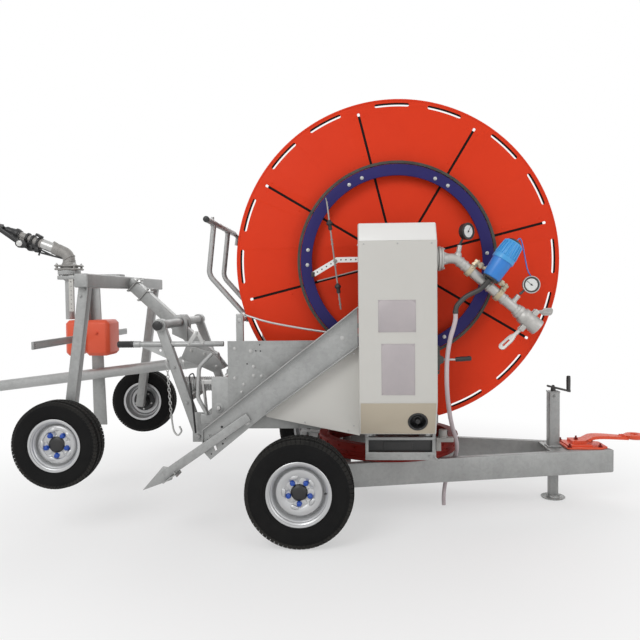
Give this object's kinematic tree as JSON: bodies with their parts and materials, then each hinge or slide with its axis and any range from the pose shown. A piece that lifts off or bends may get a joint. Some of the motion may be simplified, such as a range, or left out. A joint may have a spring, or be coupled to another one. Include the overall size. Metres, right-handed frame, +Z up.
{
  "type": "hose reel irrigator",
  "caption": "Trailer-mounted hose reel irrigator: slewing orange drum of black hose, water drive under a pale casing, and a lifted two-wheel sprinkler cart with a gun.",
  "frame": {"origin": "on the ground under the main axle's middle, about the centre of the footprint", "axes": "+X towards the tow eye, +Y away from the drive side, +Z up"},
  "size_m": [4.4504, 1.91, 2.505],
  "materials": {
    "galvanised": "hot-dip galvanised, matt grey with a light spangle",
    "drum_red": "orange-red powder coat, satin",
    "hitch_orange": "orange paint, satin",
    "casing_white": "off-white moulded cover, satin",
    "ring_blue": "navy powder coat, satin",
    "valve_blue": "bright blue moulded plastic",
    "chain_olive": "oiled chain steel",
    "tyre": "black rubber, matt",
    "hose_black": "black polyethylene pipe",
    "black_plastic": "black moulded plastic",
    "rim_silver": "silver painted pressed steel",
    "aluminium": "cast aluminium, satin",
    "brass": "cast brass, dull",
    "drain_grey": "pale grey soft hose"
  },
  "bodies": {
    "chassis": {"chassis_frame": "galvanised", "main_axle": "galvanised", "jack_sleeve": "galvanised", "tow_tongue": "hitch_orange", "slew_ring_lower": "drum_red"},
    "main_wheel_near": {"main_tyre_near": "tyre", "main_rim_near": "rim_silver"},
    "main_wheel_far": {"main_tyre_far": "tyre", "main_rim_far": "rim_silver"},
    "jack_crank": {"jack_crank": "galvanised"},
    "jack_leg": {"jack_leg": "galvanised"},
    "turntable": {"slew_ring_upper": "drum_red", "turntable_frame": "galvanised", "side_cheek_near": "galvanised", "side_cheek_far": "galvanised", "side_arm_near": "galvanised", "side_arm_far": "galvanised", "drum_axle": "galvanised", "drive_gearbox": "aluminium", "casing": "casing_white", "water_turbine": "aluminium", "inlet_pipe": "aluminium", "bypass_fitting_upper": "brass", "bypass_fitting_lower": "brass", "control_valve": "valve_blue", "pressure_gauge_upper": "black_plastic", "pressure_gauge_lower": "black_plastic", "shutoff_arm": "galvanised", "drain_hose": "drain_grey"},
    "anchor_near": {"anchor_spade_near": "galvanised"},
    "anchor_far": {"anchor_spade_far": "galvanised"},
    "drum": {"drum_core": "drum_red", "drum_flange_near": "drum_red", "drum_flange_far": "drum_red", "hose_pack": "hose_black", "hose_winding": "hose_black", "drive_ring": "ring_blue", "drive_chain": "chain_olive"},
    "drive_pinion": {"drive_pinion": "chain_olive"},
    "lead_screw": {"lead_screw": "galvanised"},
    "hose_guide": {"hose_guide": "galvanised", "hose_run": "hose_black"},
    "guard_hoop": {"guard_hoop": "galvanised"},
    "gear_lever": {"gear_lever": "black_plastic"},
    "cam_lever_upper": {"cam_lever_upper": "aluminium"},
    "cam_lever_lower": {"cam_lever_lower": "aluminium"},
    "lift": {"lift_frame": "galvanised"},
    "cart": {"cart_frame": "galvanised", "counterweight_bar": "galvanised", "counterweight_left": "hitch_orange", "counterweight_right": "hitch_orange", "draw_pipe": "galvanised"},
    "cart_wheel_near": {"cart_tyre_near": "tyre", "cart_rim_near": "rim_silver"},
    "cart_wheel_far": {"cart_tyre_far": "tyre", "cart_rim_far": "rim_silver"},
    "gun": {"gun_body": "aluminium", "gun_nozzle": "black_plastic"},
    "gun_drive_arm": {"gun_drive_arm": "black_plastic"}
  },
  "joints": [
    {"name": "turntable_slew", "type": "hinge", "parent": "chassis", "child": "turntable", "pos_m": [0.53, 0, 0.4053], "axis": [0, 0, 1], "range_deg": [-115, 115], "deforming": ["drain_hose"]},
    {"name": "main_wheel_near_spin", "type": "hinge", "parent": "chassis", "child": "main_wheel_near", "pos_m": [0, -0.87, 0.3], "axis": [0, 1, 0], "continuous": true},
    {"name": "main_wheel_far_spin", "type": "hinge", "parent": "chassis", "child": "main_wheel_far", "pos_m": [0, 0.87, 0.3], "axis": [0, 1, 0], "continuous": true},
    {"name": "jack_crank_turn", "type": "hinge", "parent": "chassis", "child": "jack_crank", "pos_m": [1.63, 0, 0.72], "axis": [0, 0, 1], "range_deg": [0, 3600]},
    {"name": "jack_leg_slide", "type": "slide", "parent": "chassis", "child": "jack_leg", "axis": [0, 0, 1], "range_m": [0, 0.09]},
    {"name": "drum_spin", "type": "hinge", "parent": "turntable", "child": "drum", "pos_m": [0.555, 0, 1.565], "axis": [0, 1, 0], "continuous": true},
    {"name": "drive_pinion_spin", "type": "hinge", "parent": "turntable", "child": "drive_pinion", "pos_m": [0.555, -0.606, 0.92825], "axis": [0, 1, 0], "continuous": true},
    {"name": "lead_screw_spin", "type": "hinge", "parent": "turntable", "child": "lead_screw", "pos_m": [-0.47, 0, 0.7325], "axis": [0, 1, 0], "continuous": true},
    {"name": "hose_guide_slide", "type": "slide", "parent": "turntable", "child": "hose_guide", "axis": [0, 1, 0], "range_m": [-0.17, 0.67]},
    {"name": "guard_hoop_tilt", "type": "hinge", "parent": "turntable", "child": "guard_hoop", "pos_m": [-0.345, 0, 1.235], "axis": [0, 1, 0], "range_deg": [0, 12]},
    {"name": "gear_lever_swing", "type": "hinge", "parent": "turntable", "child": "gear_lever", "pos_m": [0.786, -0.78, 1.01], "axis": [0, 1, 0], "range_deg": [-20, 20]},
    {"name": "cam_lever_upper_swing", "type": "hinge", "parent": "turntable", "child": "cam_lever_upper", "pos_m": [1.29794, -0.785, 1.26825], "axis": [0, 1, 0], "range_deg": [-20, 30]},
    {"name": "cam_lever_lower_swing", "type": "hinge", "parent": "turntable", "child": "cam_lever_lower", "pos_m": [1.21923, -0.785, 1.17767], "axis": [0, 1, 0], "range_deg": [-60, 20]},
    {"name": "anchor_near_slide", "type": "slide", "parent": "turntable", "child": "anchor_near", "axis": [-0.8244, 0, -0.5659], "range_m": [0, 0.15]},
    {"name": "anchor_far_slide", "type": "slide", "parent": "turntable", "child": "anchor_far", "axis": [-0.8244, 0, -0.5659], "range_m": [0, 0.15]},
    {"name": "lift_swing", "type": "hinge", "parent": "turntable", "child": "lift", "pos_m": [-0.635, 0, 0.53], "axis": [0, -1, 0], "range_deg": [0, 38]},
    {"name": "cart_level", "type": "hinge", "parent": "lift", "child": "cart", "pos_m": [-0.865, 0, 1.2], "axis": [0, -1, 0], "range_deg": [-38, 0]},
    {"name": "cart_wheel_near_spin", "type": "hinge", "parent": "cart", "child": "cart_wheel_near", "pos_m": [-1.385, -0.78, 0.54], "axis": [0, 1, 0], "continuous": true},
    {"name": "cart_wheel_far_spin", "type": "hinge", "parent": "cart", "child": "cart_wheel_far", "pos_m": [-1.385, 0.78, 0.54], "axis": [0, 1, 0], "continuous": true},
    {"name": "gun_turn", "type": "hinge", "parent": "cart", "child": "gun", "pos_m": [-1.64, 0, 1.56], "axis": [0, 0, 1], "range_deg": [-110, 110]},
    {"name": "gun_arm_swing", "type": "hinge", "parent": "gun", "child": "gun_drive_arm", "pos_m": [-1.955, 0, 1.745], "axis": [0, 1, 0], "range_deg": [0, 25]}
  ],
  "couplings": [
    {"joint": "jack_leg_slide", "follows": "jack_crank_turn", "m_per_rad": 0.001432},
    {"joint": "drive_pinion_spin", "follows": "drum_spin", "ratio": -8},
    {"joint": "lead_screw_spin", "follows": "drum_spin", "ratio": 2},
    {"joint": "cart_level", "follows": "lift_swing", "ratio": -1}
  ]
}
